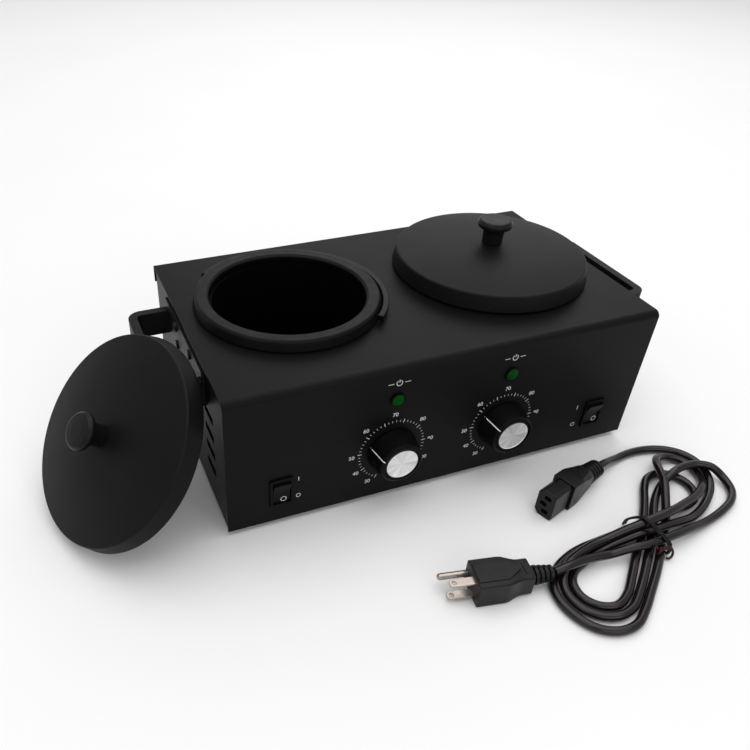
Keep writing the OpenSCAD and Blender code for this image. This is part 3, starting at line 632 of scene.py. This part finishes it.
def nose_outline(t):
    """The connector nose's outline, with two corners cut off, drawn in by t."""
    corners = [(-7.6 + t, -12.5 + t, 2.6), (4 - t * 0.6, -12.5 + t, 2.0), (7.6 - t, -8.6 + t * 0.4, 2.0),
               (7.6 - t, 8.6 - t * 0.4, 2.0), (4 - t * 0.6, 12.5 - t, 2.0), (-7.6 + t, 12.5 - t, 2.6)]
    return rounded(corners, True, 15)


def add_connector():
    """Socket connector on its narrow side: nose with three slots, collar, neck and relief."""
    axis = Vector((math.cos(CONNECTOR_YAW), math.sin(CONNECTOR_YAW), 0))
    place = place_along(CONNECTOR_FACE, axis)
    insets = ((0, 0.7), (0.25, 0.25), (0.8, 0), (19, 0), (19.3, 1.2), (21.5, 1.2))
    nose = lead_piece("connector_nose", loft([(x, nose_outline(inset)) for x, inset in insets]))
    for z, y in ((-6.6, -1.2), (0, 1.4), (6.6, -1.2)):
        hole = [(x, [(p.x + y, p.y + z) for p in round_box(2.9, 1.9, 1.4)]) for x in (-2, 14)]
        cut_out(nose, loft(hole))
    nose.data.transform(place)
    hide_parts("connector")
    sizes = [(20.6, 9.0, 12.1, 1.4), (21, 9.5, 12.5, 1.6), (31, 9.4, 12.5, 1.8), (34, 9.2, 12.0, 2.2),
             (39, 8.8, 10.8, 3), (44, 8.4, 9.7, 4), (49.4, 8.1, 8.8, 5), (50.2, 7.4, 8.1, 5)]
    body = lead_piece("connector_body", loft([(x, round_box(y, z, r)) for x, y, z, r in sizes]), place)
    sleeve = add_relief("connector_relief", CONNECTOR_FACE + axis * 49.8, Vector(ROUTE[0]), 8.4, 7.2)
    return [nose, body, sleeve]


def tie_piece(name, path, radius_mm, material):
    """One wire of the tie, along points in metres."""
    return add_piece(name, tube(path, radius_mm * MM, 14), material, "housing")


def add_tie():
    """Doubled twist tie over the crossing, with its ends twisted together in front."""
    over = [(151, -182, 1.8), (150.2, -183.6, 8), (150.6, -188.5, 15), (151.5, -194.5, 20.3),
            (153.2, -200.5, 20.3), (155.5, -206, 17), (157.8, -211.5, 14.8), (159.8, -215.8, 11),
            (160.6, -217, 5.5), (160.4, -216.6, 1.8)]
    parts = []
    for i, shift in enumerate((-0.9, 0.9)):
        path = along([Vector((x + shift, y, z)) * MM for x, y, z in over], 0.8 * MM)
        parts.append(tie_piece(f"tie_wire_{i}", path, 0.9, TIE))
    for i in range(2):
        twist = []
        for k in range(33):
            t = k / 32
            angle = 2 * math.pi * 2.2 * t + math.pi * i
            spread = 0.95 + 1.6 * max(0, t - 0.8) * 5
            centre = Vector((161 - 13 * t, -217.4 + 0.6 * t, 9 + 6 * t - 5 * t * t))
            offset = Vector((0, 0.9 * math.cos(angle), math.sin(angle))) * spread
            twist.append((centre + offset) * MM)
        parts.append(tie_piece(f"tie_end_{i}", along(twist, 0.6 * MM), 0.85, TIE_END))
    curl = [(160.5, -218, 9), (161.5, -219.4, 6), (160.8, -220.4, 3), (158.6, -220.6, 1.6),
            (156.4, -220.2, 2.4)]
    parts.append(tie_piece("tie_curl", along([Vector(p) * MM for p in curl], 0.6 * MM), 0.85, TIE_END))
    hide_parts("cord_tie")
    return parts


plug_parts = add_plug()
connector_parts = add_connector()
tie_parts = add_tie()
nodes = frame["nodes"]


# ---------------------------------------------------------------- CAD nodes that stay

def finish_cad(node, material, edge_mm):
    """Gives a CAD node its material, and rounds its hard edges where they show."""
    piece = nodes[node]
    piece.data.materials.clear()
    piece.data.materials.append(material)
    for polygon in piece.data.polygons:
        polygon.material_index = 0
    if edge_mm:
        weld = piece.modifiers.new("weld", "WELD")
        weld.merge_threshold = 2e-6
        flat = piece.modifiers.new("flat", "DECIMATE")
        flat.decimate_type = "DISSOLVE"
        flat.angle_limit = math.radians(0.3)
        bevel(piece, edge_mm, 3, 28)
        piece.modifiers["bevel"].harden_normals = False
        weighted = piece.modifiers.new("weighted", "WEIGHTED_NORMAL")
        weighted.keep_sharp = True
        piece.data.shade_smooth()


CAD_FINISH = {
    "cover": (BODY_COAT, 0.3), "back_panel": (BODY_COAT, 0.2), "base_plate": (BODY_COAT, 0.2),
    "left_side_panel": (BODY_COAT, 0.2), "right_side_panel": (BODY_COAT, 0.2),
    "feet": (FOOT, 0.5), "foot_screws": (ZINC, 0.2), "panel_screws": (ZINC, 0.3),
    "left_handle": (NYLON, 0.8), "right_handle": (NYLON, 0.8), "handle_screws": (BLACKENED, 0),
    "left_well": (WELL, 0.2), "right_well": (WELL, 0.2),
    "left_heater_band": (BAND, 0.2), "right_heater_band": (BAND, 0.2),
    "left_insulation": (SLEEVE, 0.8), "right_insulation": (SLEEVE, 0.8),
    "left_thermostat": (BOX, 0.3), "right_thermostat": (BOX, 0.3),
    "sensor_bulbs": (COPPER, 0), "bushing_nuts": (ZINC, 0.25),
    "left_lamp": (SATIN, 0.25), "right_lamp": (SATIN, 0.25),
    "left_lamp_lens": (LENS, 0), "right_lamp_lens": (LENS, 0),
    "left_switch_frame": (SATIN, 0.35), "right_switch_frame": (SATIN, 0.35),
    "left_rocker": (SATIN, 0.25), "right_rocker": (SATIN, 0.25),
    "power_inlet": (SATIN, 0.4), "inlet_pins": (NICKEL, 0.3), "terminal_block": (WHITE, 0.4),
    "wiring": (WIRE, 0), "left_pot": (POT, 0.2), "right_pot": (POT, 0.2),
    "left_lid_screw": (ZINC, 0), "right_lid_screw": (ZINC, 0),
    "left_lid_seal": (SEAL, 0.6), "right_lid_seal": (SEAL, 0.6),
    "left_shaft": (ZINC, 0.3), "right_shaft": (ZINC, 0.3),
    "connector_contacts": (NICKEL, 0.15),
}
for node, (material, edge) in CAD_FINISH.items():
    finish_cad(node, material, edge)


# ---------------------------------------------------------------- rims, bails and lids

SIDES = ("left", "right")
joints = {j["name"]: j for j in frame["joints"]}


def middle_of(node):
    """The middle of a CAD node's box."""
    low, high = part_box(node)
    return (low + high) / 2


PIN_R = 1.1
PIN_LEN = 9.2
PIN_START = 67.5


def add_rim(side, body):
    """Thick rim ring: sloping outside, rounded top, with the bail's two stub pins."""
    centre = middle_of(f"{side}_pot")
    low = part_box(f"{side}_rim")[0].z
    grow, shift = (0.8, -1.1) if side == "left" else (0, 0)
    outline = rounded([(59.6 + grow, 1.3, 0), (64.6, 1.3, 0), (64.6, 0, 0), (72 + grow, 0, 0.5),
                       (70.6 + grow, 6.2 + grow, 1.4), (69.2 + grow, 7.8 + grow, 1.6),
                       (61.4 + grow, 7.6 + grow, 1.6), (59.6 + grow, 6.0 + grow, 1.2)], True, 12)
    place = Matrix.Translation((centre.x + shift * MM, centre.y, low))
    ring = add_piece(f"{side}_rim_ring", lathe(outline, 224, True), RIM, body, place)
    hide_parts(f"{side}_rim")
    pivot = middle_of(f"{side}_bail")
    hinge = Vector(joints["left_bail_swing"]["pos_m"])
    turn = Vector(joints["left_bail_swing"]["axis"])
    offset = (hinge - middle_of("left_pot")).to_2d().length
    towards = (pivot - centre).to_2d().normalized()
    base = Vector((centre.x + towards.x * offset, centre.y + towards.y * offset, hinge.z))
    for i, way in enumerate((-1, 1)):
        pin = lathe(rounded([(0.01, 0, 0), (PIN_R, 0, 0), (PIN_R, PIN_LEN, 0.4), (0.01, PIN_LEN, 0)]), 32)
        start = base + turn * way * PIN_START * MM
        aim = (turn * way).to_track_quat("Z", "Y").to_matrix().to_4x4()
        add_piece(f"{side}_bail_pin_{i}", pin, RIM, body, Matrix.Translation(start) @ aim)


BAIL_MIDDLE = 45
BAIL_SWEEP = 181
BAIL_STEPS = 120


def add_bail(side, body):
    """Flat half-round bail with rounded edges, lying outside the rim."""
    centre = middle_of(f"{side}_pot")
    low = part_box(f"{side}_bail")[0].z
    section = rounded([(72.3, 0, 0.6), (76.8, 0, 0.6), (76.8, 3.8, 0.7), (72.3, 3.8, 0.7)], True, 22)
    mesh = bmesh.new()
    rings = []
    for k in range(BAIL_STEPS + 1):
        angle = math.radians(BAIL_MIDDLE - BAIL_SWEEP / 2 + BAIL_SWEEP * k / BAIL_STEPS)
        c, s = math.cos(angle), math.sin(angle)
        rings.append([mesh.verts.new((r * c * MM, r * s * MM, z * MM)) for r, z in section])
    close_skin(mesh, rings)
    place = Matrix.Translation((centre.x, centre.y, low))
    piece = add_piece(f"{side}_bail_strip", mesh, BAIL, body, place)
    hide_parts(f"{side}_bail")


def lid_place(side):
    """The lid's own frame: its open edge's centre, with Z out of the dome."""
    up = Vector(joints[f"{side}_lid_lift"]["axis"]).normalized()
    corners = [v.co for v in nodes[f"{side}_lid"].data.vertices]
    lowest = min(c.dot(up) for c in corners)
    edge = [c for c in corners if c.dot(up) < lowest + 2e-5]
    far = max(edge, key=lambda c: (c - edge[0]).length)
    centre = (edge[0] + far) / 2
    return Matrix.Translation(centre) @ up.to_track_quat("Z", "X").to_matrix().to_4x4()


LID_EDGE_R = 79.6
LID_TOP_R = 77
LID_SKIRT = 12.8
LID_RISE = 9.2
LID_WALL = 1.4


def dome(radius, inset):
    """Height of the dome at a radius, inset by the sheet's thickness."""
    ball = (LID_TOP_R ** 2 + LID_RISE ** 2) / (2 * LID_RISE)
    return LID_SKIRT + LID_RISE - ball + math.sqrt((ball - inset) ** 2 - radius ** 2)


def add_lid(side, body):
    """Domed lid with a rolled shoulder, a sloping skirt and a turned knob."""
    place = lid_place(side)
    shoulder = LID_TOP_R - 3.4
    outer = [(r, dome(r, 0), 0) for r in (0.0, 6, 12, 20, 28, 36, 44, 52, 60, 67, shoulder - 2)]
    outer += [(LID_TOP_R + 0.2, dome(LID_TOP_R - 0.6, 0), 1.9), (LID_EDGE_R, 0.9, 0.5),
              (LID_EDGE_R - 0.2, 0, 0.3)]
    inner = [(LID_EDGE_R - LID_WALL, 0, 0.3), (LID_TOP_R - LID_WALL, dome(LID_TOP_R, LID_WALL) + 0.1, 1.8)]
    inner += [(r, dome(r, LID_WALL), 0) for r in (70, 60, 48, 36, 24, 12, 0.0)]
    shell = add_piece(f"{side}_lid_shell", lathe(rounded(outer + inner, step=10), 256), LID_COAT, body,
                      place)
    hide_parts(f"{side}_lid")
    knob = rounded([(2.1, 0.1, 0), (8.3, 0.05, 0.4), (8.1, 1.6, 1.2), (8.5, 8.4, 6), (9.6, 12.4, 2.4),
                    (13.6, 13.0, 1.4), (14.0, 16.4, 1.9), (12.0, 18.9, 2.4), (6.0, 19.35, 8),
                    (0.01, 19.4, 0)])
    knob = [(2.1, 9.6), *knob]
    grip = add_piece(f"{side}_lid_grip", lathe(knob, 128), PHENOLIC, body,
                     place @ Matrix.Translation((0, 0, (LID_SKIRT + LID_RISE) * MM)))
    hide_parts(f"{side}_lid_knob")


BAIL_BODY = {"left": "left_bail_body", "right": "right_pot_body"}
for side in SIDES:
    add_rim(side, f"{side}_pot_body")
for side in SIDES:
    add_bail(side, BAIL_BODY[side])
for side in SIDES:
    add_lid(side, f"{side}_lid_body")


# ---------------------------------------------------------------- dials

panel_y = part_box("cover")[0].y
POINTER_AT = {"left": 158, "right": 148}


def onto_panel(x, z, proud_mm=0):
    """A frame on the front panel: local X right, local Y up, local Z out to the front."""
    turn = Matrix.Rotation(math.radians(90), 4, "X")
    return Matrix.Translation((x, panel_y - proud_mm * MM, z)) @ turn


def add_dial(side):
    """Fluted knob with a spun cap and a painted pointer."""
    body = f"{side}_knob_body"
    hinge = Vector(joints[f"{side}_knob_turn"]["pos_m"])
    outline = rounded([(9.4, 0.7, 0), (19.2, 0.7, 0.3), (19.7, 1.4, 0.5), (19.5, 2.6, 0.8), (19.2, 4.0, 0),
                       (18.4, 8.4, 0), (17.6, 12.8, 0), (16.9, 16.7, 1.0), (15.6, 18.0, 1.0),
                       (13.9, 18.0, 0.2), (13.9, 17.0, 0.2), (0.01, 17.0, 0)])
    place = onto_panel(hinge.x, hinge.z)
    knob = add_piece(f"{side}_dial", lathe([(9.4, 4.6), *outline], 480, flutes=(60, 0.3, 3.4, 17.4)),
                     SATIN, body, place)
    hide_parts(f"{side}_knob")
    face = rounded([(0.01, 17.55, 0), (12.0, 17.55, 0.2), (12.5, 17.95, 0.2), (13.1, 17.95, 0.2),
                    (13.7, 17.35, 0.15), (13.7, 17.05, 0)])
    disc = spun_disc(f"{side}_spun_aluminium", (0.92, 0.92, 0.93), (hinge.x, 0, hinge.z))
    cap = add_piece(f"{side}_dial_cap", lathe(face, 160), disc, body, place)
    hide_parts(f"{side}_knob_cap")
    mark = bmesh.new()
    line = [(19.72, 1.2), (17.06, 16.4), (16.3, 17.84), (15.6, 18.08), (15.4, 17.6), (16, 16), (18.6, 1.2)]
    close_skin(mark, [[mark.verts.new(Vector((r, y, z)) * MM) for r, z in line] for y in (-0.38, 0.38)])
    add_piece(f"{side}_dial_pointer", mark, POINTER, body,
              place @ Matrix.Rotation(math.radians(POINTER_AT[side]), 4, "Z"))


for side in SIDES:
    add_dial(side)


# ---------------------------------------------------------------- printed marks

INK_PROUD = 0.06


def strip(mesh, points_mm, width):
    """A flat line of constant width through 2-D points."""
    pairs = []
    for i, p in enumerate(points_mm):
        a = Vector(points_mm[max(i - 1, 0)])
        b = Vector(points_mm[min(i + 1, len(points_mm) - 1)])
        side = (b - a).normalized().orthogonal() * width / 2
        pairs.append([mesh.verts.new((Vector(p) + side).to_3d() * MM),
                      mesh.verts.new((Vector(p) - side).to_3d() * MM)])
    for low, high in zip(pairs, pairs[1:]):
        mesh.faces.new((low[0], low[1], high[1], high[0]))


def arc(x, y, radius, start, stop, pieces=24):
    """Points on an arc between two angles in degrees."""
    angles = [math.radians(start + (stop - start) * k / pieces) for k in range(pieces + 1)]
    return [(x + radius * math.cos(a), y + radius * math.sin(a)) for a in angles]


def figures(mesh, text, x, y, height):
    """Adds flat figures centred on a point."""
    curve = bpy.data.curves.new("figures", "FONT")
    curve.body = text
    curve.size = height * MM / 0.7
    curve.offset = 0.05 * MM
    curve.align_x = "CENTER"
    curve.align_y = "CENTER"
    holder = bpy.data.objects.new("figures", curve)
    bpy.context.scene.collection.objects.link(holder)
    bpy.context.view_layer.update()
    data = bpy.data.meshes.new_from_object(holder.evaluated_get(bpy.context.evaluated_depsgraph_get()))
    data.transform(Matrix.Translation((x * MM, y * MM, 0)))
    mesh.from_mesh(data)
    bpy.data.objects.remove(holder)
    bpy.data.meshes.remove(data)


def add_marks(name, mesh, place, body="housing"):
    """Links flat printed marks, which need no weighted normals."""
    piece = add_piece(name, mesh, INK, body, place)
    piece.modifiers.remove(piece.modifiers["weighted"])


SCALE_START = -30
SCALE_SWEEP = 275
SCALE_STEPS = 40
FIGURES_R = 32.4
FIGURES_HEIGHT = 3.3
SCALE = ((237, "30"), (210, "40"), (180, "50"), (134, "60"), (90, "70"), (44, "80"), (3, "90"), (-30, "100"))


def add_scale(side):
    """Ticks and plain numbers round a dial."""
    hinge = Vector(joints[f"{side}_knob_turn"]["pos_m"])
    mesh = bmesh.new()
    for i in range(SCALE_STEPS + 1):
        angle = math.radians(SCALE_START + SCALE_SWEEP * i / SCALE_STEPS)
        long = i % 5 == 0
        inner, outer = (24.6, 27.8) if long else (25.4, 27.0)
        ends = [(r * math.cos(angle), r * math.sin(angle)) for r in (inner, outer)]
        strip(mesh, ends, 0.55 if long else 0.4)
    for angle, text in SCALE:
        a = math.radians(angle)
        figures(mesh, text, FIGURES_R * math.cos(a), FIGURES_R * math.sin(a), FIGURES_HEIGHT)
    add_marks(f"{side}_dial_scale", mesh, onto_panel(hinge.x, hinge.z, INK_PROUD))


def add_power_mark(side):
    """A power symbol between two short rules, above a lamp."""
    lens = middle_of(f"{side}_lamp")
    mesh = bmesh.new()
    strip(mesh, arc(0, 0, 2.2, 125, 415, 40), 0.6)
    strip(mesh, [(0, 0.4), (0, 2.9)], 0.6)
    for way in (-1, 1):
        strip(mesh, [(way * 4.2, 0), (way * 8.7, 0)], 0.5)
    add_marks(f"{side}_power_mark", mesh, onto_panel(lens.x, lens.z + 14.4 * MM, INK_PROUD))


def add_switch_marks(side, x_mm, high_mm, low_mm, ring_mm):
    """The on bar and the off ring beside a switch, and the ring on its rocker."""
    frame_middle = middle_of(f"{side}_switch_frame")
    mesh = bmesh.new()
    strip(mesh, [(0, high_mm - 1.9), (0, high_mm + 1.9)], 0.6)
    strip(mesh, arc(0, low_mm, 1.6, 0, 360, 32), 0.5)
    place = onto_panel(frame_middle.x + x_mm * MM, frame_middle.z, INK_PROUD)
    add_marks(f"{side}_switch_mark", mesh, place)
    hinge = Vector(joints[f"{side}_rocker_tilt"]["pos_m"])
    ring = bmesh.new()
    strip(ring, arc(*ring_mm, 2.1, 0, 360, 48), 0.55)
    ring.transform(Matrix.Translation(hinge) @ Matrix.Rotation(math.radians(90), 4, "X"))
    lay_on(ring, nodes[f"{side}_rocker"])
    add_marks(f"{side}_rocker_mark", ring, None, f"{side}_rocker_body")


def lay_on(mesh, node):
    """Moves each point of a mark back along Y to just clear of a node's surface."""
    tree = BVHTree.FromPolygons([v.co for v in node.data.vertices], [p.vertices for p in node.data.polygons])
    for vertex in mesh.verts:
        place = tree.ray_cast(Vector((vertex.co.x, -0.3, vertex.co.z)), Vector((0, 1, 0)))[0]
        if place is not None:
            vertex.co.y = place.y - 0.08 * MM


for side in SIDES:
    add_scale(side)
    add_power_mark(side)
add_switch_marks("left", 13.2, 8.8, -7.7, (1.4, -6.9))
add_switch_marks("right", -17.0, 9.3, -7.9, (3.2, -6.6))


# ---------------------------------------------------------------- floor and light

def add_floor():
    """A wide pale floor, which isn't part of the object."""
    mesh = bmesh.new()
    bmesh.ops.create_grid(mesh, x_segments=1, y_segments=1, size=6)
    floor = link_mesh("floor", mesh)
    material, tree, shader, at = new_material("floor_paper", (0.74, 0.74, 0.74), 0.6)
    tree.links.new(blend_colours(tree, noise(tree, at, 6, 2), (0.735, 0.735, 0.735), (0.745, 0.745, 0.745)),
                   shader.inputs["Base Color"])
    floor.data.materials.append(material)


def add_light(name, place, target, size, power):
    """A rectangular area light at a place in metres, aimed at a target."""
    data = bpy.data.lights.new(name, "AREA")
    data.shape = "RECTANGLE"
    data.size, data.size_y = size
    data.energy = power
    lamp = bpy.data.objects.new(name, data)
    bpy.context.scene.collection.objects.link(lamp)
    aim = (Vector(target) - Vector(place)).to_track_quat("-Z", "Y").to_matrix().to_4x4()
    lamp.matrix_world = Matrix.Translation(place) @ aim


def add_world(strength):
    """Plain white light from all round."""
    world = bpy.data.worlds.new("studio")
    bpy.context.scene.world = world
    world.use_nodes = True
    background = world.node_tree.nodes["Background"]
    background.inputs["Color"].default_value = (1, 1, 1, 1)
    background.inputs["Strength"].default_value = strength


LIGHTS = (
    ("behind", (1.0, 1.5, 1.3), (0.05, 0.05, 0.1), (1.7, 0.9), 7),
    ("overhead", (0.1, 0.3, 3.0), (0.1, 0.3, 0.0), (4.0, 3.6), 80),
    ("front", (0.2, -2.0, 1.1), (0.1, -0.2, 0.0), (2.0, 0.9), 9),
    ("front_left", (-1.4, -0.9, 1.2), (0.0, 0.0, 0.05), (0.9, 0.9), 2),
)
add_floor()
add_world(0.6)
for light in LIGHTS:
    add_light(*light)
bpy.context.scene.view_settings.view_transform = "Standard"
